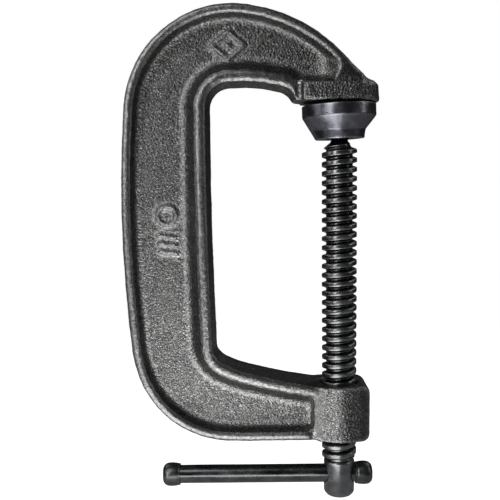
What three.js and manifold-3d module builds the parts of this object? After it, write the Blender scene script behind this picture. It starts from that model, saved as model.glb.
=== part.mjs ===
// A 100 mm C clamp: a cast iron C frame with an anvil block and a threaded boss, a coarse screw
// with a ball end, a swivel pad crimped round the ball, and a sliding tommy bar with two end caps.
// Millimetres, +Z up along the screw. The origin is the centre of the anvil face.
import * as THREE from 'three';
import { mergeVertices } from 'three/addons/utils/BufferGeometryUtils.js';
import Module from 'manifold-3d';

const wasm = await Module();
wasm.setup();

// ---------------------------------------------------------------- driving dimensions

// The outer edge of the C, from above the anvil round the spine to the boss, as tangent arcs.
// Each bend is [radius, turn to the left in degrees].
const outer = {
  start: [7.4, 10.8],
  heading: 125.2,
  bends: [[65, 47.2], [43.4, 75.2], [43.4, 17.7], [509, 11], [46, 19.3], [39.7, 59.4], [93, 5.3]],
  tail: 36,
};
// The edge of the jaw opening, from the foot of the upper arm round the spine to the boss.
const inner = {
  start: [-18, 0.4],
  heading: 122,
  bends: [[200, 0.5], [8.3, 43], [62, 19.5], [9.2, 84.6], [2000, 2.73], [8.5, 60], [39, 12], [213, 7.7]],
  tail: 1,
};
const section = { halfWidth: 10.5, crown: 0.5, edgeRadius: 1 }; // the C, across its flanges
const belly = { rise: 1.1, from: -110, to: -95 }; // more crown inside the spine and the upper arm
const web = { halfThickness: 3.5, fillet: 1.2 };
const outerFlange = { face: 3.9, wall: 1.2 };  // width of the flange's side face, slope of its wall
const innerFlange = { face: 4.3, wall: 4.4 };
const pocketEnd = { x: -6.6, corner: 3, draft: 5.4, rise: 3 };
const flangeEnd = { // where the flanges stop short of the boss, and how deep they are cut back
  anvil: -18.2, upper: -9.4, lower: -12.5, step: -119, corner: 3.2, halfWidth: 8.4, inBoss: -6 };
const saddle = { halfWidth: 9.3, left: -13, right: -6, slope: 0.4, top: -131.5 };

const anvil = {
  halfWidth: 11.5, left: -15.5, round: 4.5, thickness: 7.4, corner: 0.9, edge: 0.6, noseDraft: 0.5 };
const neck = { halfWidth: 8, left: -18.1, right: 8.5, bottom: 0.4, rise: 0.7 };
const foot = { left: -3, right: 8.3, rise: 3.4, spread: 0.75 }; // under the outer flange
const gusset = { halfWidth: 6.5, radius: 8, centre: [15.1, 15.7], from: 258, to: 212, top: [2.2, 16.9] };

const boss = {
  halfWidth: 11.7, ridge: 13, shoulder: 9.8, top: -114, bottom: -136.8, corner: 3, ridgeRadius: 8,
  mouthRadius: 8.3 };

const thread = {
  pitch: 3.77, crest: 7.15, root: 5.4, crestFlat: 1.6, flank: 0.65, crestAtFront: -23.65,
  top: -15.2, fullFrom: -19.2, bottom: -147.1, runOut: 1.2,
  radialGap: 0.4, axialGap: 0.17, segments: 20,
};
const ball = { radius: 5.6, centre: -8.9, neckRadius: 3.45, taperEnd: -18.6 };
const head = { radius: 6.35, top: -147.6, bottom: -162.6, chamfer: 1.4, holeRadius: 4.1 };

const pad = {
  radius: 14.9, top: -0.85, rimHeight: 4.7, coneHeight: 5.3, height: 13.6, neckRadius: 10.45,
  lipRadius: 9.8, bevel: 0.3, mouthRadius: 4.75, socketRadius: 6, tilt: 2, segments: 40,
  earAngle: 180, earHalfAngle: 28,
};

const bar = { radius: 3.75, axis: -153.6, left: -72.3, right: 12.2 };
const cap = {
  radius: 4.85, length: 7.2, collarRadius: 4.45, collarLength: 0.7, bore: 4.08, endWall: 1.3,
  round: 1.5, leftEnd: -74, rightEnd: 13.85,
};

const castIron = { color: 0x3a3a3b, roughness: 0.62, metalness: 0.55 };
const blackOxide = { color: 0x2b2b2d, roughness: 0.38, metalness: 0.85 };
const padSteel = { color: 0x34353c, roughness: 0.42, metalness: 0.8 };
const barSteel = { color: 0x262627, roughness: 0.36, metalness: 0.85 };
const capSteel = { color: 0x333334, roughness: 0.45, metalness: 0.8 };

// ---------------------------------------------------------------- turning points into solids

const rad = THREE.MathUtils.degToRad;
const { lerp, clamp, smoothstep } = THREE.MathUtils;

/** A closed geometry as a solid, with its shared points joined and its empty triangles left out. */
function solid(geometry) {
  geometry.deleteAttribute('normal');
  geometry.deleteAttribute('uv');
  const merged = mergeVertices(geometry, 1e-5);
  const corners = merged.index.array;
  const kept = [];
  for (let i = 0; i < corners.length; i += 3) {
    const [a, b, c] = corners.subarray(i, i + 3);
    if (a !== b && b !== c && c !== a) kept.push(a, b, c);
  }
  return new wasm.Manifold(new wasm.Mesh({
    numProp: 3,
    vertProperties: merged.attributes.position.array,
    triVerts: new Uint32Array(kept),
  }));
}

/** Matching counterclockwise outlines stacked along an axis. layers: [height, [u, v] points]. */
function stack(layers, place) {
  const count = layers[0][1].length;
  const pointAt = (i, j) => place(...layers[j][1][i % count], layers[j][0]);
  const positions = [];
  for (let j = 0; j < layers.length - 1; j++) {
    for (let i = 0; i < count; i++) {
      const near = pointAt(i, j);
      const far = pointAt(i + 1, j + 1);
      positions.push(...near, ...pointAt(i + 1, j), ...far, ...near, ...far, ...pointAt(i, j + 1));
    }
  }
  for (const j of [0, layers.length - 1]) {
    const flat = layers[j][1].map(([u, v]) => new THREE.Vector2(u, v));
    for (const [a, b, c] of THREE.ShapeUtils.triangulateShape(flat, [])) {
      const turn = j === 0 ? [a, c, b] : [a, b, c];
      for (const i of turn) positions.push(...pointAt(i, j));
    }
  }
  const geometry = new THREE.BufferGeometry();
  geometry.setAttribute('position', new THREE.Float32BufferAttribute(positions, 3));
  return solid(geometry);
}

/** [x, y] outlines stacked upwards. */
const stackUp = (layers) => stack(layers, (x, y, z) => [x, y, z]);

/** [x, z] outlines, counterclockwise as seen from the front, stacked from the back to the front. */
const stackForward = (layers) => stack(layers, (x, z, y) => [x, -y, z]);

/** A flat outline pulled along +Z. */
function extruded(outline, depth) {
  const shape = new THREE.Shape(outline.map(([u, v]) => new THREE.Vector2(u, v)));
  return new THREE.ExtrudeGeometry(shape, { depth, bevelEnabled: false });
}

/** One [x, z] outline pulled from side to side of the part. */
const prism = (outline, halfWidth) =>
  solid(extruded(outline, 2 * halfWidth).translate(0, 0, -halfWidth).rotateX(Math.PI / 2));

/**
 * A profile of [radius, z] points, listed upwards along its outside, turned about the Z axis.
 * shape(row, turn) may give each row another radius and height at each part of a turn.
 */
function turned(profile, segments, shape) {
  const points = profile.map(([r, z]) => new THREE.Vector2(r, z));
  const lathe = new THREE.LatheGeometry(points, segments).rotateX(Math.PI / 2).rotateZ(Math.PI / 2);
  const { position } = lathe.attributes;
  for (let k = 0; shape && k < position.count; k++) {
    const column = Math.floor(k / profile.length);
    const angle = (2 * Math.PI * (column % segments)) / segments;
    const [r, z] = shape(k % profile.length, column / segments);
    position.setXYZ(k, r * Math.cos(angle), r * Math.sin(angle), z);
  }
  return lathe;
}

/** Points of an arc from one angle to another, in degrees. */
function arc([u, v], radius, from, to, parts) {
  return Array.from({ length: parts + 1 }, (_, i) => {
    const angle = rad(lerp(from, to, i / parts));
    return [u + radius * Math.cos(angle), v + radius * Math.sin(angle)];
  });
}

/** An outline of [u, v, radius] corners, each one rounded by an arc unless its radius is 0. */
function filleted(corners) {
  return corners.flatMap(([u, v, radius], i) => {
    if (radius === 0) return [[u, v]];
    const corner = new THREE.Vector2(u, v);
    const towards = ([x, y]) => new THREE.Vector2(x, y).sub(corner).normalize();
    const before = towards(corners.at(i - 1));
    const after = towards(corners[(i + 1) % corners.length]);
    const half = Math.acos(before.dot(after)) / 2;
    const centre = before.clone().add(after).setLength(radius / Math.sin(half)).add(corner);
    const reach = radius / Math.tan(half);
    const angleOf = (side) => side.clone().multiplyScalar(reach).add(corner).sub(centre).angle();
    const from = THREE.MathUtils.radToDeg(angleOf(before));
    const turn = THREE.MathUtils.euclideanModulo(
      THREE.MathUtils.radToDeg(angleOf(after)) - from + 180, 360) - 180;
    return arc([centre.x, centre.y], radius, from, from + turn, Math.ceil(Math.abs(turn) / 18.5));
  });
}

/** A solid as a named, coloured mesh. */
function part(name, body, material) {
  const { vertProperties, triVerts } = body.getMesh();
  const geometry = new THREE.BufferGeometry();
  geometry.setAttribute('position', new THREE.BufferAttribute(vertProperties, 3));
  geometry.setIndex(new THREE.BufferAttribute(triVerts, 1));
  geometry.computeVertexNormals();
  const mesh = new THREE.Mesh(geometry, new THREE.MeshStandardMaterial(material));
  mesh.name = name;
  return mesh;
}

// ---------------------------------------------------------------- the frame casting

/** Follows tangent arcs, with a point at least every 7 degrees and every 14 mm. */
function follow({ start, heading, bends, tail }) {
  let [x, z] = start;
  let angle = rad(heading);
  const points = [{ x, z, angle }];
  const walk = (length, direction) => {
    x += length * Math.cos(direction);
    z += length * Math.sin(direction);
    points.push({ x, z, angle });
  };
  for (const [radius, turn] of bends) {
    const parts = Math.ceil(Math.max(turn / 7, rad(turn) * radius / 14));
    const step = rad(turn / parts);
    for (let i = 0; i < parts; i++) {
      angle += step;
      walk(2 * radius * Math.sin(step / 2), angle - step / 2);
    }
  }
  walk(tail, angle);
  return points;
}

/** The followed points, moved to the left of their heading. */
const moved = (points, by) =>
  points.map(({ x, z, angle }) => [x - by * Math.sin(angle), z + by * Math.cos(angle)]);

const outerEdge = follow(outer);
const innerEdge = follow(inner);

/** The whole C with its edges drawn in, both ends buried in the anvil neck and the boss. */
function frameOutline(by) {
  const out = moved(outerEdge, by);
  const middle = Math.max(0, 1 - by / section.crown);
  const into = innerEdge.map((point) => {
    const rise = belly.rise * smoothstep(point.z, belly.from, belly.to);
    return moved([point], rise * middle - by)[0];
  });
  return [
    ...out.slice(0, -1),
    [flangeEnd.inBoss, out.at(-1)[1]],
    [flangeEnd.inBoss, boss.top - 0.5],
    ...into.reverse(),
    [out[0][0], into.at(-1)[1]],
  ];
}

/** The hollow between the flanges, its walls sloping from the side face to the web, up to the boss. */
function pocketOutline(depth) {
  const out = moved(outerEdge, outerFlange.face + outerFlange.wall * depth);
  const into = moved(innerEdge, -innerFlange.face - innerFlange.wall * depth);
  return [...out, ...into.reverse()];
}

/** What closes the hollow above the anvil: everything below and to the right of its tip. */
function anvilStop(depth) {
  const x = pocketEnd.x + pocketEnd.draft * (1 - depth);
  const z = anvil.thickness + 0.9 + pocketEnd.rise * depth ** 3;
  const corners = [
    [-40, z, 0], [-40, -40, 0], [60, -40, 0], [60, 60, 0], [x, 60, 0], [x, z, pocketEnd.corner]];
  return filleted(corners);
}

const { halfWidth: side, edgeRadius, crown } = section;
const sideLayers = [
  [side, edgeRadius + crown], [side - 0.3 * edgeRadius, 0.4 * edgeRadius + crown],
  [side - edgeRadius, crown], [0, 0]];
const allLayers = [
  ...sideLayers.map(([y, by]) => [-y, by]),
  ...sideLayers.slice(0, -1).reverse(),
];
const pocketLayers = [ // from the web out past the side face: [distance from the web, depth]
  [0, 1.3], [0.4 * web.fillet, 1.08], [web.fillet, 0.87], [3, 0.59], [side - web.halfThickness - 0.8, 0.12],
  [side - web.halfThickness, -0.08], [side - web.halfThickness + 1, -0.08]];

const cornerCut = prism([
  [flangeEnd.anvil, -9], [40, -9], [40, anvil.thickness + 0.4],
  [flangeEnd.anvil, anvil.thickness + 0.4]], 20);
let frame = stackForward(allLayers.map(([y, by]) => [y, frameOutline(by)])).subtract(cornerCut);
for (const front of [true, false]) {
  const layers = pocketLayers.map(([y, depth]) => [web.halfThickness + y, depth]);
  const inOrder = front ? layers : layers.map(([y, depth]) => [-y, depth]).reverse();
  const loft = (outlineAt) => stackForward(inOrder.map(([y, depth]) => [y, outlineAt(depth)]));
  frame = frame.subtract(loft(pocketOutline).subtract(loft(anvilStop)));
}

// Past the ends of its flanges the arm is cut back on both sides before it meets the boss.
const pastFlanges = filleted([
  [flangeEnd.lower, -150, 0], [flangeEnd.lower, flangeEnd.step, 1],
  [flangeEnd.upper, flangeEnd.step, flangeEnd.corner], [flangeEnd.upper, -100, 0],
  [10, -100, 0], [10, -150, 0]]);
const armCore = prism([[-20, -100], [20, -100], [20, -150], [-20, -150]], flangeEnd.halfWidth);
frame = frame.subtract(prism(pastFlanges, 20).subtract(armCore));

/** The anvil block in plan: flat sides, square back, round nose that tapers a little upwards. */
function anvilOutline(z, by) {
  const { halfWidth, left, round, corner, noseDraft } = anvil;
  const shrink = 1 - (noseDraft / halfWidth) * (z / anvil.thickness);
  const nose = arc([0, 0], halfWidth - by, -90, 90, 16);
  const x = left + corner + 0.5 * by;
  return [
    ...arc([x, -halfWidth + corner + by], corner, 180, 270, 3),
    ...nose.map(([u, v]) => [round + shrink * u, v]),
    ...arc([x, halfWidth - corner - by], corner, 90, 180, 3),
  ];
}
const { thickness, edge } = anvil;
const block = stackUp([
  [0, edge], [0.3 * edge, 0.3 * edge], [edge, 0],
  [thickness - edge, 0], [thickness - 0.3 * edge, 0.3 * edge], [thickness, edge],
].map(([z, by]) => [z, anvilOutline(z, by)]));
const neckTop = thickness + neck.rise;
const neckBlock = prism([
  [neck.left, neck.bottom], [neck.right, neck.bottom], [neck.right, neckTop], [neck.left, neckTop]],
  neck.halfWidth);

/** The outer flange spreads in a hollow curve where it stands on the block. */
const footBlock = stackUp([0, 0.25, 0.5, 0.75, 1].map((part) => {
  const y = side - 0.1 + foot.spread * (1 - part) ** 2;
  const z = thickness - 0.1 + foot.rise * part;
  return [z, [[foot.left, -y], [foot.right, -y], [foot.right, y], [foot.left, y]]];
}));
const gussetBlock = prism([
  [0, thickness - 1], [gusset.centre[0] - 2, thickness - 1],
  ...arc(gusset.centre, gusset.radius, gusset.from, gusset.to, 5), gusset.top, [0, thickness + 4]],
  gusset.halfWidth);
frame = frame.add(neckBlock).add(footBlock).add(gussetBlock).add(block);

// The boss has square shoulders, and a low ridge down its front and back.
const { halfWidth: bossSide, ridge, ridgeRadius, shoulder, corner: bossCorner } = boss;
const bossPlan = filleted([
  [-bossSide, -shoulder, bossCorner], [0, -ridge, ridgeRadius], [bossSide, -shoulder, bossCorner],
  [bossSide, shoulder, bossCorner], [0, ridge, ridgeRadius], [-bossSide, shoulder, bossCorner]]);
const bossFront = filleted([
  [-bossSide, boss.bottom, bossCorner], [bossSide, boss.bottom, bossCorner],
  [bossSide, boss.top, bossCorner], [-bossSide, boss.top, bossCorner]]);
const bossHeight = boss.top - boss.bottom;
const bossColumn = solid(extruded(bossPlan, bossHeight + 2).translate(0, 0, boss.bottom - 1));
const armBottom = outerEdge.at(-1).z + 0.4;
const saddleBlock = prism([
  [saddle.left, armBottom], [saddle.right, armBottom - saddle.slope], [saddle.right, saddle.top],
  [saddle.left, saddle.top]], saddle.halfWidth);
frame = frame.add(bossColumn.intersect(prism(bossFront, ridge + 1))).add(saddleBlock);

// ---------------------------------------------------------------- the screw

/** A right-hand thread with plain turned ends. below and above are [radius, z] profiles. */
function threaded({ crest, root, crestFlat, rootRadius, height, zBottom, zTop, below, above }) {
  const { pitch, flank, segments, crestAtFront } = thread;
  const knots = [-crestFlat / 2 - flank, -crestFlat / 2, crestFlat / 2, crestFlat / 2 + flank];
  const origin = crestAtFront + pitch / 4;
  const first = Math.floor((zBottom - origin) / pitch) - 2;
  const last = Math.ceil((zTop - origin) / pitch) + 1;
  const helix = [];
  for (let turn = first; turn <= last; turn++) {
    for (const knot of knots) helix.push([root, origin + pitch * turn + knot]);
  }
  const rows = [...below, ...helix, ...above];
  return solid(turned(rows, segments, (row, turn) => {
    if (row < below.length || row >= rows.length - above.length) return rows[row];
    const z = clamp(rows[row][1] + pitch * turn, zBottom, zTop);
    const along = z - origin - pitch * turn;
    const fromCrest = Math.abs(along - pitch * Math.round(along / pitch));
    const rise = 1 - clamp((fromCrest - crestFlat / 2) / flank, 0, 1);
    return [rootRadius(z, root) + (crest - root) * rise * height(z), z];
  }));
}

const ballNeckAngle = THREE.MathUtils.radToDeg(Math.asin(ball.neckRadius / ball.radius));
const ballProfile = arc([0, ball.centre], ball.radius, ballNeckAngle - 90, 90, 8);
const screwRod = threaded({
  ...thread,
  rootRadius: (z, root) => lerp(
    ball.neckRadius, root, clamp((thread.top - z) / (thread.top - ball.taperEnd), 0, 1)),
  height: (z) => Math.min(
    smoothstep(-z, -thread.top, -thread.fullFrom), smoothstep(z - thread.bottom, 0, thread.runOut)),
  zBottom: thread.bottom,
  zTop: thread.top,
  below: [
    [0, head.bottom], [head.radius - head.chamfer, head.bottom],
    [head.radius - 0.3 * head.chamfer, head.bottom + 0.35 * head.chamfer],
    [head.radius, head.bottom + head.chamfer], [head.radius, head.top],
    [thread.root, thread.bottom]],
  above: [...ballProfile.slice(0, -1), [0, ball.centre + ball.radius]],
});

/** A plain rod along X on the line of the head's cross hole. */
function crossRod(radius, left, right) {
  const rod = new THREE.CylinderGeometry(radius, radius, right - left, 24);
  return solid(rod.rotateZ(Math.PI / 2).translate((left + right) / 2, 0, bar.axis));
}
const screw = screwRod.subtract(crossRod(head.holeRadius, -10, 10));

const tap = threaded({
  ...thread,
  crest: thread.crest + thread.radialGap,
  root: thread.root + thread.radialGap,
  crestFlat: thread.crestFlat + 2 * thread.axialGap,
  rootRadius: (z, root) => root,
  height: () => 1,
  zBottom: boss.bottom - 2,
  zTop: boss.top + 2,
  below: [[0, boss.bottom - 2]],
  above: [[0, boss.top + 2]],
});
const mouth = (z, outwards) => solid(turned(
  [[0, z - 1], [boss.mouthRadius + outwards, z - 1], [boss.mouthRadius - outwards, z + 1],
    [0, z + 1]], 40));
frame = frame.subtract(tap).subtract(mouth(boss.top, -1)).subtract(mouth(boss.bottom, 1));

// ---------------------------------------------------------------- the swivel pad

const padBottom = pad.top - pad.height;
const coneTop = pad.top - pad.rimHeight;
const coneBottom = coneTop - pad.coneHeight;
const mouthAngle = THREE.MathUtils.radToDeg(Math.asin(pad.mouthRadius / pad.socketRadius));

/** The uncrimped ear keeps a straight cone from the rim to the lip. */
function padRadius([r, z], turn) {
  if (z > coneTop - 0.01 || r < pad.socketRadius + 1) return r;
  const away = Math.abs(360 * turn - pad.earAngle);
  const ear = 1 - smoothstep(away, 0.3 * pad.earHalfAngle, pad.earHalfAngle);
  const straight = lerp(pad.radius, pad.lipRadius, (coneTop - z) / (coneTop - padBottom));
  return lerp(r, straight, ear);
}
const padProfile = [
  [pad.mouthRadius, padBottom + 0.4],
  [pad.mouthRadius + 0.4, padBottom],
  [pad.lipRadius - pad.bevel, padBottom],
  [pad.lipRadius, padBottom + pad.bevel],
  [pad.neckRadius, coneBottom],
  [pad.radius, coneTop],
  [pad.radius, pad.top - pad.bevel],
  [pad.radius - pad.bevel, pad.top],
  [0, pad.top],
];
const socket = arc([0, ball.centre], pad.socketRadius, 90, mouthAngle - 90, 7);
const padRows = [[0, ball.centre + pad.socketRadius], ...socket.slice(1), ...padProfile];
const padSolid = solid(turned(
  padRows, pad.segments, (row, turn) => [padRadius(padRows[row], turn), padRows[row][1]]));
const swivelPad = padSolid
  .translate([0, 0, -ball.centre])
  .rotate([0, -pad.tilt, 0])
  .translate([0, 0, ball.centre]);

// ---------------------------------------------------------------- the tommy bar and its caps

const handleBar = crossRod(bar.radius, bar.left, bar.right);

/** A barrel-shaped cap, open towards the middle of the bar. facing is +1 to open to the right. */
function endCap(end, facing) {
  const profile = [
    [0, 0], [cap.radius - cap.round, 0], [cap.radius - 0.35 * cap.round, 0.3 * cap.round],
    [cap.radius, cap.round], [cap.radius, cap.length - cap.collarLength - 0.6],
    [cap.collarRadius, cap.length - cap.collarLength], [cap.collarRadius, cap.length],
    [cap.bore, cap.length], [cap.bore, cap.endWall], [0, cap.endWall],
  ];
  return solid(turned(profile, 24).rotateY(facing * Math.PI / 2).translate(end, 0, bar.axis));
}

const clampModel = new THREE.Group();
clampModel.name = 'c_clamp';
clampModel.add(
  part('clamp_frame', frame, castIron),
  part('clamp_screw', screw, blackOxide),
  part('swivel_pad', swivelPad, padSteel),
  part('handle_bar', handleBar, barSteel),
  part('handle_cap_left', endCap(cap.leftEnd, 1), capSteel),
  part('handle_cap_right', endCap(cap.rightEnd, -1), capSteel),
);
export default clampModel;
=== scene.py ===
"""The looks of the C clamp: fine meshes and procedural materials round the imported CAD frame."""

import math

import bmesh
import bpy
import numpy as np
from mathutils import Matrix, Vector, noise

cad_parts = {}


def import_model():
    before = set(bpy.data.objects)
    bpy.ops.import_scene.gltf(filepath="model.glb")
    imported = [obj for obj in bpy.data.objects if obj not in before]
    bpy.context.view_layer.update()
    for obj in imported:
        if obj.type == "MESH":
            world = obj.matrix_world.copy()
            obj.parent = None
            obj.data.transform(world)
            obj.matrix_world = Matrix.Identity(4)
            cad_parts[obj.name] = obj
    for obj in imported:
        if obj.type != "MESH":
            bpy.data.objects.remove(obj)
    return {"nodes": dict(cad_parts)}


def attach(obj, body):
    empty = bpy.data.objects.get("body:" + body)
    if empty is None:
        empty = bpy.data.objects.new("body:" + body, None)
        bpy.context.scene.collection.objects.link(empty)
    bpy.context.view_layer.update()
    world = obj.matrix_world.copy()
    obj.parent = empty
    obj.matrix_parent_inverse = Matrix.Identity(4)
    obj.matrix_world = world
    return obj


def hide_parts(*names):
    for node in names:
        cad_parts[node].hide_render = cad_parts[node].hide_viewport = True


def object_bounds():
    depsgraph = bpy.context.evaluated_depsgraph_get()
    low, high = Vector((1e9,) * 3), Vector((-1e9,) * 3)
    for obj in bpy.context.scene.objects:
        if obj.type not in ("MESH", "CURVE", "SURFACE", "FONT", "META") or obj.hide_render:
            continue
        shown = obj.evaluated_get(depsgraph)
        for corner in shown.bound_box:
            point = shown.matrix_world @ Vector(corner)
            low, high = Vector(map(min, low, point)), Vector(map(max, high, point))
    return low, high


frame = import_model()
cad_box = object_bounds()
MM = 0.001

# ---------------------------------------------------------------- driving dimensions, in millimetres

PITCH, CREST, ROOT = 3.77, 7.15, 5.4
CREST_FLAT, FLANK = 1.6, 0.65
CREST_AT_FRONT = -23.65
THREAD_TOP, THREAD_FULL, THREAD_BOTTOM, RUN_OUT = -15.2, -19.2, -147.1, 1.2
TURN_STEPS = 72
SCREW_TRAVEL = 98.1
BALL_RADIUS, BALL_Z, NECK_RADIUS, TAPER_END = 5.6, -8.9, 3.45, -18.6
HEAD_RADIUS, HEAD_TOP, HEAD_BOTTOM, HOLE_RADIUS = 6.35, -147.6, -162.6, 4.1

BOSS_TOP, BOSS_BOTTOM, BORE_RADIUS, MOUTH_RADIUS = -114.0, -136.8, 7.7, 8.4
FLANGE_FACE, WEB_FACE = 10.3, -3.5
MARK_WIDTH, MARK_HEIGHT = 0.75, 0.95
CASTING_VOXEL = 0.66

PAD_RADIUS, PAD_TOP, PAD_RIM, PAD_CONE, PAD_HEIGHT = 14.9, -0.85, 4.7, 5.3, 13.6
PAD_NECK, PAD_LIP, PAD_MOUTH, SOCKET_RADIUS, PAD_TILT = 10.45, 9.8, 4.75, 6.0, 2.0
EAR_ANGLE, EAR_HALF = 180.0, 28.0

BAR_RADIUS, BAR_Z, BAR_LEFT, BAR_RIGHT = 3.75, -153.6, -72.3, 12.2
CAP_RADIUS, CAP_LENGTH, CAP_COLLAR, CAP_BORE = 4.85, 7.2, 4.45, 4.08
CAP_LEFT_END, CAP_RIGHT_END, CAP_END_WALL = -74.0, 13.85, 1.3

FLOOR_RADIUS, FLOOR_GAP = 900, 2
LIGHT_CENTRE = (-36, 0, -60)
CAMERA_AIM, CAMERA_DISTANCE, CAMERA_LENS = (-36.59, 0, -59.09), 307, 53.93
CAMERA_TILT, CAMERA_ROLL = 5.3, -0.55


# ---------------------------------------------------------------- mesh helpers

def mesh_object(name, vertices, faces):
    """An object from points in millimetres and faces."""
    mesh = bpy.data.meshes.new(name)
    mesh.from_pydata([tuple(c * MM for c in v) for v in vertices], [], faces)
    work = bmesh.new()
    work.from_mesh(mesh)
    bmesh.ops.remove_doubles(work, verts=work.verts, dist=1e-6)
    bmesh.ops.dissolve_degenerate(work, edges=work.edges, dist=1e-7)
    bmesh.ops.recalc_face_normals(work, faces=work.faces)
    work.to_mesh(mesh)
    work.free()
    mesh.polygons.foreach_set("use_smooth", [True] * len(mesh.polygons))
    obj = bpy.data.objects.new(name, mesh)
    bpy.context.scene.collection.objects.link(obj)
    return obj


def grid_faces(columns, rows, wrap=True):
    """Quads between neighbouring points, numbered column by column."""
    faces = []
    for i in range(columns):
        after = (i + 1) % columns if wrap else i + 1
        for j in range(rows - 1):
            faces.append((i * rows + j, after * rows + j, after * rows + j + 1, i * rows + j + 1))
    return faces


def lathe(name, profile, steps, along="z", radius_at=None):
    """A profile of (radius, height) turned about the screw's axis, or about the bar's axis."""
    vertices = []
    for i in range(steps):
        angle = 2 * math.pi * i / steps
        for radius, height in profile:
            r = radius_at(radius, height, angle) if radius_at else radius
            u, v = r * math.cos(angle), r * math.sin(angle)
            vertices.append((u, v, height) if along == "z" else (height, u, v + BAR_Z))
    return mesh_object(name, vertices, grid_faces(steps, len(profile)))


def arc(centre, radius, start, end, parts):
    """Points of an arc, angles in degrees."""
    angles = [math.radians(start + (end - start) * i / parts) for i in range(parts + 1)]
    return [(centre[0] + radius * math.cos(a), centre[1] + radius * math.sin(a)) for a in angles]


def rounded(profile, radius, parts=4):
    """The same open profile with its inner corners rounded."""
    out = [profile[0]]
    for before, corner, after in zip(profile, profile[1:], profile[2:]):
        a, b, c = Vector(before), Vector(corner), Vector(after)
        cut = min(radius, 0.45 * (a - b).length, 0.45 * (c - b).length)
        start, end = b + (a - b).normalized() * cut, b + (c - b).normalized() * cut
        for i in range(parts + 1):
            t = i / parts
            out.append(tuple(start.lerp(b, t).lerp(b.lerp(end, t), t)))
    return out + [profile[-1]]


def finer(profile, step):
    """The same profile with extra points on its long stretches."""
    out = [profile[0]]
    for a, b in zip(profile, profile[1:]):
        parts = max(1, math.ceil(math.dist(a, b) / step))
        out += [(a[0] + (b[0] - a[0]) * k / parts, a[1] + (b[1] - a[1]) * k / parts)
                for k in range(1, parts + 1)]
    return out


def apply(obj, kind, **settings):
    """Adds a modifier and applies it."""
    modifier = obj.modifiers.new(kind, kind)
    for key, value in settings.items():
        setattr(modifier, key, value)
    bpy.context.view_layer.objects.active = obj
    bpy.ops.object.modifier_apply(modifier=modifier.name)


def cut(obj, tool):
    """Cuts the tool out of the object and removes the tool."""
    apply(obj, "BOOLEAN", operation="DIFFERENCE", solver="EXACT", object=tool)
    bpy.data.objects.remove(tool)


def mark_edges(obj, rounds, reach):
    """Stores how far each vertex stands proud of its surroundings, as the attribute 'edge'."""
    mesh = obj.data
    count = len(mesh.vertices)
    place = np.empty(count * 3)
    mesh.vertices.foreach_get("co", place)
    place = place.reshape(-1, 3)
    normal = np.empty(count * 3)
    mesh.vertex_normals.foreach_get("vector", normal)
    normal = normal.reshape(-1, 3)
    ends = np.empty(len(mesh.edges) * 2, int)
    mesh.edges.foreach_get("vertices", ends)
    ends = ends.reshape(-1, 2)
    degree = np.maximum(np.bincount(ends.ravel(), minlength=count), 1)[:, None]
    flat = place.copy()
    for _ in range(rounds):
        total = np.zeros_like(flat)
        np.add.at(total, ends[:, 0], flat[ends[:, 1]])
        np.add.at(total, ends[:, 1], flat[ends[:, 0]])
        flat = 0.5 * flat + 0.5 * total / degree
    proud = ((place - flat) * normal).sum(1) / (reach * MM)
    attribute = mesh.attributes.new("edge", "FLOAT", "POINT")
    attribute.data.foreach_set("value", np.clip(proud, -1, 1).astype(np.float32))
    return obj


def roughen(obj, *layers):
    """Moves each vertex along its normal by layers of noise: (feature size, height) in millimetres."""
    mesh = obj.data
    normals = [v.vector.copy() for v in mesh.vertex_normals]
    for vertex, normal in zip(mesh.vertices, normals):
        move = sum(noise.noise(vertex.co / (size * MM) + Vector((7.3 * k, 1.9, 4.1))) * height
                   for k, (size, height) in enumerate(layers))
        vertex.co += normal * move * MM


# ---------------------------------------------------------------- materials

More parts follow.
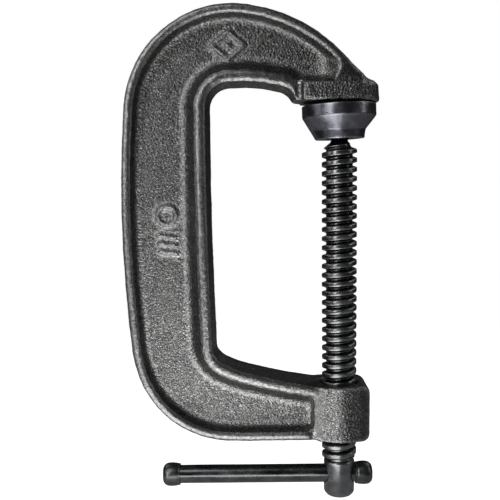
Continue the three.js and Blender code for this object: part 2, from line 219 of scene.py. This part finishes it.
class Shader:
    """A small helper that builds one node material."""

    def __init__(self, name, roughness, metallic):
        self.material = bpy.data.materials.new(name)
        self.material.use_nodes = True
        self.tree = self.material.node_tree
        self.surface = self.tree.nodes["Principled BSDF"]
        self.surface.inputs["Roughness"].default_value = roughness
        self.surface.inputs["Metallic"].default_value = metallic
        self.place = self.tree.nodes.new("ShaderNodeTexCoord").outputs["Object"]
        self.height = None

    def node(self, kind, inputs=(), **settings):
        made = self.tree.nodes.new(kind)
        for key, value in settings.items():
            setattr(made, key, value)
        for key, value in dict(inputs).items():
            if isinstance(value, bpy.types.NodeSocket):
                self.tree.links.new(value, made.inputs[key])
            else:
                made.inputs[key].default_value = value
        return made

    def noise(self, size, detail=2.0, roughness=0.5, stretch=(1, 1, 1)):
        """Noise with features of about this size in millimetres."""
        place = self.place
        if stretch != (1, 1, 1):
            place = self.node("ShaderNodeMapping", {"Vector": place, "Scale": stretch}).outputs[0]
        return self.node("ShaderNodeTexNoise", {
            "Vector": place, "Scale": 1 / (size * MM), "Detail": detail,
            "Roughness": roughness}).outputs["Fac"]

    def cells(self, size):
        return self.node("ShaderNodeTexVoronoi", {
            "Vector": self.place, "Scale": 1 / (size * MM)}).outputs["Distance"]

    def ramp(self, value, low, high, start=0.0, end=1.0):
        return self.node("ShaderNodeMapRange", {
            "Value": value, "From Min": low, "From Max": high, "To Min": start,
            "To Max": end}).outputs["Result"]

    def math(self, operation, a, b):
        return self.node("ShaderNodeMath", {0: a, 1: b}, operation=operation).outputs[0]

    def mix(self, factor, a, b):
        made = self.node("ShaderNodeMix", {"Factor": factor}, data_type="RGBA")
        for socket, colour in ((made.inputs["A"], a), (made.inputs["B"], b)):
            if isinstance(colour, bpy.types.NodeSocket):
                self.tree.links.new(colour, socket)
            else:
                socket.default_value = (*colour, 1)
        return made.outputs["Result"]

    def axis(self, letter):
        """One coordinate of the place on the object, in metres."""
        return self.node("ShaderNodeSeparateXYZ", {"Vector": self.place}).outputs[letter]

    def attribute(self, name):
        return self.node("ShaderNodeAttribute", attribute_name=name).outputs["Fac"]

    def link(self, output, name):
        self.tree.links.new(output, self.surface.inputs[name])

    def bump(self, height, depth):
        """Adds a layer of bump, depth in millimetres."""
        made = self.node("ShaderNodeBump", {
            "Height": height, "Distance": depth * MM, "Strength": 1.0})
        if self.height is not None:
            self.tree.links.new(self.height, made.inputs["Normal"])
        self.height = made.outputs["Normal"]
        self.link(self.height, "Normal")


def grey(level, warmth=0.0):
    return (level * (1 + warmth), level, level * (1 - warmth))


def cast_iron():
    """Sand-cast iron with a thin black finish, finer on the side faces of the flanges."""
    s = Shader("cast_iron", roughness=0.36, metallic=1.0)
    from_face = s.math("SUBTRACT", s.math("ABSOLUTE", s.axis("Y"), 0), FLANGE_FACE * MM)
    coarse = s.ramp(s.math("ABSOLUTE", from_face, 0), 0.35 * MM, 0.9 * MM, 0.35, 1.0)
    grain = s.noise(0.9, detail=2.0, roughness=0.55)
    specks = s.noise(0.45, detail=3.0, roughness=0.7)
    patches = s.noise(5.0, detail=3.0)
    base = s.mix(s.ramp(patches, 0.35, 0.65), grey(0.062, 0.01), grey(0.09, 0.01))
    # Bright specks on the coarse sand skin stand in for glints of light on the grains: painted
    # highlights.
    painted_grain_glints = s.math("MULTIPLY", coarse, s.ramp(specks, 0.52, 0.68))
    base = s.mix(painted_grain_glints, base, grey(0.44, 0.01))
    # Proud edges and concave fillets are made lighter and broken up by noise. On the proud edges this
    # is edge wear and painted highlight together; in the fillets it is painted highlight only.
    proud = s.ramp(s.attribute("edge"), 0.22, 0.6, 0.0, 0.5)
    painted_fillet_highlight = s.ramp(s.attribute("edge"), -0.07, -0.3, 0.0, 0.55)
    lightened_edges = s.math("MAXIMUM", proud, painted_fillet_highlight)
    patchy_edge_wear_and_highlight = s.math(
        "MULTIPLY", lightened_edges, s.ramp(s.noise(1.0, detail=4.0, roughness=0.7), 0.38, 0.58, 0.3, 1.0))
    base = s.mix(patchy_edge_wear_and_highlight, base, grey(0.4, 0.01))
    s.link(base, "Base Color")
    s.link(s.ramp(specks, 0.35, 0.65, 0.4, 0.3), "Roughness")
    s.bump(s.noise(0.4, detail=2.0, roughness=0.6), 0.03)
    s.bump(s.math("MULTIPLY", grain, coarse), 0.55)
    return s.material


def black_oxide(name, level, roughness, speckle):
    """Oiled black oxide, worn grey on the edges, with painted shade that turns the hollows nearly
    black.
    """
    s = Shader(name, roughness=roughness, metallic=1.0)
    stain = s.noise(3.5, detail=4.0, stretch=(0.5, 1, 1))
    base = s.mix(s.ramp(stain, 0.35, 0.7), grey(level, -0.02), grey(level * 1.8, -0.03))
    lightened_edges = s.ramp(s.attribute("edge"), 0.2, 0.9, 0.0, 0.7)
    base = s.mix(s.math("MULTIPLY", lightened_edges, s.ramp(s.noise(0.9), 0.35, 0.65)), base, grey(0.38))
    # Painted shade: the thread roots and other hollows are turned nearly black.
    base = s.mix(s.ramp(s.attribute("edge"), -0.05, -0.5, 0.0, 0.95), base, grey(0.008))
    s.link(base, "Base Color")
    s.link(s.ramp(stain, 0.3, 0.75, roughness - 0.04, roughness + 0.14), "Roughness")
    s.bump(s.noise(0.8, detail=3.0), speckle)
    return s.material


def pressed_steel():
    """Blue-black pressed steel with small pits."""
    s = Shader("pressed_steel", roughness=0.34, metallic=1.0)
    stain = s.noise(4.0, detail=4.0)
    base = s.mix(s.ramp(stain, 0.35, 0.7), (0.11, 0.112, 0.13), (0.18, 0.183, 0.21))
    pits = s.ramp(s.cells(1.7), 0.05, 0.16)
    base = s.mix(pits, grey(0.03), base)
    lightened_edges = s.ramp(s.attribute("edge"), 0.2, 0.8, 0.0, 0.8)
    base = s.mix(lightened_edges, base, grey(0.42))
    s.link(base, "Base Color")
    s.link(s.ramp(stain, 0.3, 0.75, 0.27, 0.38), "Roughness")
    s.bump(pits, 0.05)
    s.bump(s.noise(0.8, detail=3.0), 0.03)
    return s.material


def dress(obj, material, body, node):
    """Gives a piece its material and its body, and puts it in the place of a CAD node."""
    obj.data.materials.clear()
    obj.data.materials.append(material)
    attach(obj, body)
    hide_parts(node)


# ---------------------------------------------------------------- the casting

def foundry_marks():
    """Plain raised marks on the front of the web: a lozenge with a pip, and a ring with three bars."""
    lozenge = [(-51, 22.5), (-44.5, 27.8), (-38, 22.5), (-44.5, 17.2), (-51, 22.5)]
    pip = [(-45, 22.5), (-44, 22.5)]
    ring = arc((-70, -44.5), 3.8, 0, 360, 12)
    bars = [[(-73.5 + 0.4 * k, -52.5 - 3.2 * k), (-67 + 0.4 * k, -53.5 - 3.2 * k)]
            for k in range(3)]
    return [lozenge, pip, ring, *bars]


def emboss(obj, stroke):
    """Raises the web's front face along a line of (x, z) points in millimetres."""
    mesh = obj.data
    place = np.empty(len(mesh.vertices) * 3)
    mesh.vertices.foreach_get("co", place)
    place = place.reshape(-1, 3) / MM
    flat = place[:, [0, 2]]
    near = np.full(len(flat), 1e9)
    for start, end in zip(stroke, stroke[1:]):
        start, along = np.array(start), np.subtract(end, start)
        t = np.clip((flat - start) @ along / (along @ along), 0, 1)
        near = np.minimum(near, np.linalg.norm(flat - start - t[:, None] * along, axis=1))
    rise = np.clip(1.4 - 0.9 * near / MARK_WIDTH, 0, 1)
    rise = rise * rise * (3 - 2 * rise) * (np.abs(place[:, 1] - WEB_FACE) < 1.2)
    place[:, 1] -= rise * MARK_HEIGHT
    mesh.vertices.foreach_set("co", (place * MM).ravel())
    mesh.update()


def casting():
    """The CAD casting with the blended corners and uneven skin that a sand mould leaves."""
    source = frame["nodes"]["clamp_frame"]
    obj = bpy.data.objects.new("frame_casting", source.data.copy())
    bpy.context.scene.collection.objects.link(obj)
    obj.data.materials.clear()
    apply(obj, "REMESH", mode="VOXEL", voxel_size=CASTING_VOXEL * MM)
    apply(obj, "SMOOTH", factor=0.5, iterations=6)
    for stroke in foundry_marks():
        emboss(obj, stroke)
    roughen(obj, (9.0, 0.12), (1.7, 0.09))
    obj.data.polygons.foreach_set("use_smooth", [True] * len(obj.data.polygons))
    mouth = [
        (0, BOSS_BOTTOM - 4), (MOUTH_RADIUS + 3, BOSS_BOTTOM - 4), (BORE_RADIUS, BOSS_BOTTOM + 1.2),
        (BORE_RADIUS, BOSS_TOP - 1.2), (MOUTH_RADIUS + 3, BOSS_TOP + 4), (0, BOSS_TOP + 4)]
    cut(obj, lathe("bore_tool", mouth, 96))
    return mark_edges(obj, rounds=8, reach=0.22)


# ---------------------------------------------------------------- the screw

def thread_radius(z, turns):
    """The screw's radius at a height, where turns is the angle round from the right, in turns."""
    along = z - (CREST_AT_FRONT + PITCH / 4) - PITCH * turns
    from_crest = abs(along - PITCH * round(along / PITCH))
    rise = min(max(1 - (from_crest - CREST_FLAT / 2) / FLANK, 0), 1)
    rise = rise * rise * (3 - 2 * rise) * 0.35 + rise * 0.65
    if from_crest < CREST_FLAT / 2:
        rise -= 0.06 * (from_crest / (CREST_FLAT / 2)) ** 4
    fade_in = min(max((THREAD_TOP - z) / (THREAD_TOP - THREAD_FULL), 0), 1)
    fade_out = min(max((z - THREAD_BOTTOM) / RUN_OUT, 0), 1)
    fade = min(fade_in ** 2 * (3 - 2 * fade_in), fade_out ** 2 * (3 - 2 * fade_out))
    taper = min(max((THREAD_TOP - z) / (THREAD_TOP - TAPER_END), 0), 1)
    return NECK_RADIUS + (ROOT - NECK_RADIUS) * taper + (CREST - ROOT) * rise * fade


def screw():
    """The whole turned piece in one helical grid: head, thread, neck and ball."""
    half = CREST_FLAT / 2
    knots = [-half - FLANK - 0.3] + [-half - FLANK * (1 - k / 4) for k in range(4)]
    knots += [half * k / 4 for k in range(-4, 5)]
    knots += [half + FLANK * k / 4 for k in (1, 2, 3, 4)] + [half + FLANK + 0.3]
    origin = CREST_AT_FRONT + PITCH / 4
    first = math.floor((THREAD_BOTTOM - origin) / PITCH) - 2
    last = math.ceil((THREAD_TOP - origin) / PITCH) + 2
    leads = [origin + PITCH * turn + knot for turn in range(first, last) for knot in knots]
    neck_angle = math.degrees(math.asin(NECK_RADIUS / BALL_RADIUS))
    below = finer(rounded([
        (0, HEAD_BOTTOM), (HEAD_RADIUS - 1.3, HEAD_BOTTOM), (HEAD_RADIUS, HEAD_BOTTOM + 1.5),
        (HEAD_RADIUS, HEAD_TOP), (ROOT, THREAD_BOTTOM)], 0.8), 0.6)
    above = arc((0, BALL_Z), BALL_RADIUS, neck_angle - 90, 90, 16)
    vertices = []
    for i in range(TURN_STEPS + 1):
        angle = 2 * math.pi * i / TURN_STEPS
        column = list(below)
        for lead in leads:
            z = min(max(lead + PITCH * i / TURN_STEPS, THREAD_BOTTOM), THREAD_TOP)
            column.append((thread_radius(z, i / TURN_STEPS), z))
        column += above
        vertices += [(r * math.cos(angle), r * math.sin(angle), z) for r, z in column]
    rows = len(vertices) // (TURN_STEPS + 1)
    obj = mesh_object("screw", vertices, grid_faces(TURN_STEPS, rows, wrap=False))
    cut(obj, lathe("hole_tool", [(0, -9), (HOLE_RADIUS, -9), (HOLE_RADIUS, 9), (0, 9)], 48, "x"))
    return mark_edges(obj, rounds=6, reach=0.15)


# ---------------------------------------------------------------- the swivel pad

def swivel_pad():
    """The cup, pressed in round the ball except for one ear that keeps its straight cone."""
    bottom = PAD_TOP - PAD_HEIGHT
    cone_top = PAD_TOP - PAD_RIM
    cone_bottom = cone_top - PAD_CONE

    def radius_at(radius, z, angle):
        if z > cone_top - 0.3 or radius < SOCKET_RADIUS + 1:
            return radius
        away = abs(math.degrees(angle) - EAR_ANGLE)
        t = min(max((away - 0.3 * EAR_HALF) / (0.7 * EAR_HALF), 0), 1)
        pressed = t * t * (3 - 2 * t)
        straight = PAD_RADIUS + (PAD_LIP - PAD_RADIUS) * (cone_top - z) / (cone_top - bottom)
        return straight + (radius - straight) * pressed

    mouth_angle = math.degrees(math.asin(PAD_MOUTH / SOCKET_RADIUS))
    socket = arc((0, BALL_Z), SOCKET_RADIUS, 90, mouth_angle - 90, 16)
    wall = rounded([
        socket[-1], (PAD_MOUTH, bottom + 0.6), (PAD_MOUTH + 0.5, bottom), (PAD_LIP, bottom),
        (PAD_NECK, cone_bottom), (PAD_RADIUS, cone_top), (PAD_RADIUS, PAD_TOP), (0, PAD_TOP)], 0.45)
    obj = lathe("swivel_cup", socket + finer(wall, 0.9)[1:], 160, radius_at=radius_at)
    roughen(obj, (5.0, 0.1), (1.6, 0.035))
    pivot = Vector((0, 0, BALL_Z * MM))
    turn = Matrix.Rotation(-math.radians(PAD_TILT), 4, "Y")
    obj.data.transform(Matrix.Translation(pivot) @ turn @ Matrix.Translation(-pivot))
    return mark_edges(obj, rounds=5, reach=0.12)


# ---------------------------------------------------------------- the tommy bar

def tommy_bar():
    profile = [(0, BAR_LEFT)] + [
        (BAR_RADIUS, BAR_LEFT + (BAR_RIGHT - BAR_LEFT) * k / 60) for k in range(61)] + [(0, BAR_RIGHT)]
    obj = lathe("tommy_bar", profile, 64, "x")
    roughen(obj, (14.0, 0.05), (3.0, 0.015))
    return mark_edges(obj, rounds=3, reach=0.25)


def end_cap(name, end, facing):
    """A barrel-shaped cap, open towards the middle of the bar."""
    barrel = CAP_LENGTH - 0.8
    outline = [
        (0, 0), (CAP_RADIUS - 1.6, 0.05), (CAP_RADIUS - 0.25, 1.5), (CAP_RADIUS, barrel * 0.55),
        (CAP_RADIUS - 0.2, barrel - 0.5), (CAP_COLLAR, barrel), (CAP_COLLAR, CAP_LENGTH),
        (CAP_BORE, CAP_LENGTH), (CAP_BORE, CAP_END_WALL), (0, CAP_END_WALL)]
    profile = [(r, end + facing * d) for r, d in finer(rounded(outline, 1.3, 6), 0.6)]
    obj = lathe(name, profile, 72, "x")
    roughen(obj, (3.0, 0.06))
    return mark_edges(obj, rounds=4, reach=0.12)


# ---------------------------------------------------------------- put together

iron = cast_iron()
oxide = black_oxide("black_oxide", 0.13, 0.25, 0.01)
dress(casting(), iron, "frame", "clamp_frame")
dress(screw(), oxide, "screw", "clamp_screw")
dress(swivel_pad(), pressed_steel(), "pad", "swivel_pad")
dress(tommy_bar(), black_oxide("bar_oxide", 0.1, 0.2, 0.006), "handle", "handle_bar")
caps = black_oxide("cap_oxide", 0.085, 0.3, 0.01)
dress(end_cap("end_cap_left", CAP_LEFT_END, 1), caps, "handle", "handle_cap_left")
dress(end_cap("end_cap_right", CAP_RIGHT_END, -1), caps, "handle", "handle_cap_right")


# ---------------------------------------------------------------- floor, light and camera

def eye_level(tree, to_eye, to_object):
    """A strength that is one number where it is looked at and another where it lights the clamp."""
    path = tree.nodes.new("ShaderNodeLightPath")
    level = tree.nodes.new("ShaderNodeMapRange")
    level.inputs["To Min"].default_value = to_object
    level.inputs["To Max"].default_value = to_eye
    tree.links.new(path.outputs["Is Camera Ray"], level.inputs["Value"])
    return level.outputs["Result"]


def floor():
    """A pale light table, low enough for the screw to be backed right out above it."""
    obj = lathe("floor", [(0, 0), (FLOOR_RADIUS, 0)], 96)
    obj.location.z = cad_box[0].z - (SCREW_TRAVEL + FLOOR_GAP) * MM
    material = bpy.data.materials.new("pale_floor")
    material.use_nodes = True
    surface = material.node_tree.nodes["Principled BSDF"]
    surface.inputs["Base Color"].default_value = (0.85, 0.85, 0.85, 1)
    surface.inputs["Roughness"].default_value = 0.8
    surface.inputs["Emission Color"].default_value = (1, 1, 1, 1)
    glow = eye_level(material.node_tree, to_eye=1.0, to_object=0.0)
    material.node_tree.links.new(glow, surface.inputs["Emission Strength"])
    obj.data.materials.append(material)


def softbox(name, azimuth, elevation, distance, size, power):
    """An area light on a sphere round the clamp. Azimuth 0 is in front, and 90 to the right."""
    light = bpy.data.lights.new(name, "AREA")
    light.shape = "RECTANGLE"
    light.size, light.size_y = size
    light.energy = power
    obj = bpy.data.objects.new(name, light)
    a, e = math.radians(azimuth), math.radians(elevation)
    out = Vector((math.sin(a) * math.cos(e), -math.cos(a) * math.cos(e), math.sin(e)))
    obj.location = Vector(LIGHT_CENTRE) * MM + out * distance
    obj.rotation_euler = out.to_track_quat("Z", "Y").to_euler()
    bpy.context.scene.collection.objects.link(obj)


def reflector(left, right, front, back, power):
    """A bright card held level just under the clamp. It lights the undersides and isn't seen."""
    light = bpy.data.lights.new("reflector", "AREA")
    light.shape = "RECTANGLE"
    light.size, light.size_y = (right - left) * MM, (back - front) * MM
    light.energy = power
    obj = bpy.data.objects.new("reflector", light)
    obj.location = ((left + right) / 2 * MM, (front + back) / 2 * MM, cad_box[0].z + 2 * MM)
    obj.rotation_euler = (math.pi, 0, 0)
    obj.visible_camera = False
    bpy.context.scene.collection.objects.link(obj)


def world(to_eye, to_object):
    """A white backdrop that gives the object only a little light."""
    made = bpy.data.worlds.new("studio")
    made.use_nodes = True
    background = made.node_tree.nodes["Background"]
    glow = eye_level(made.node_tree, to_eye, to_object)
    made.node_tree.links.new(glow, background.inputs["Strength"])
    background.inputs["Color"].default_value = (1, 1, 1, 1)
    bpy.context.scene.world = made


def camera():
    """In front, a little above the middle of the jaw and looking slightly down."""
    made = bpy.data.cameras.new("camera")
    made.sensor_width = 36
    made.lens = CAMERA_LENS
    made.clip_start, made.clip_end = 0.01, 10
    obj = bpy.data.objects.new("camera", made)
    down, roll = math.radians(CAMERA_TILT), math.radians(CAMERA_ROLL)
    look = Vector((0, math.cos(down), -math.sin(down)))
    right = Vector((1, 0, 0))
    up = right.cross(look)
    side = right * math.cos(roll) + up * math.sin(roll)
    top = up * math.cos(roll) - right * math.sin(roll)
    turn = Matrix((side, top, -look)).transposed().to_4x4()
    place = (Vector(CAMERA_AIM) - look * CAMERA_DISTANCE) * MM
    obj.matrix_world = Matrix.Translation(place) @ turn
    bpy.context.scene.collection.objects.link(obj)
    bpy.context.scene.camera = obj


floor()
world(to_eye=1.0, to_object=0.035)
softbox("key", -34, 15, 0.7, (0.2, 0.5), 1.7)
softbox("high_key", -28, 50, 0.7, (0.3, 0.3), 0.7)
softbox("left", -72, 20, 0.7, (0.2, 0.5), 0.5)
softbox("right", 75, 20, 0.8, (0.1, 0.5), 0.5)
softbox("back_left", 235, 45, 0.9, (0.5, 0.5), 0.8)
softbox("back_right", 125, 45, 0.9, (0.5, 0.5), 0.8)
reflector(-130, -2, -300, -30, 0.42)
camera()
bpy.context.scene.view_settings.view_transform = "Standard"
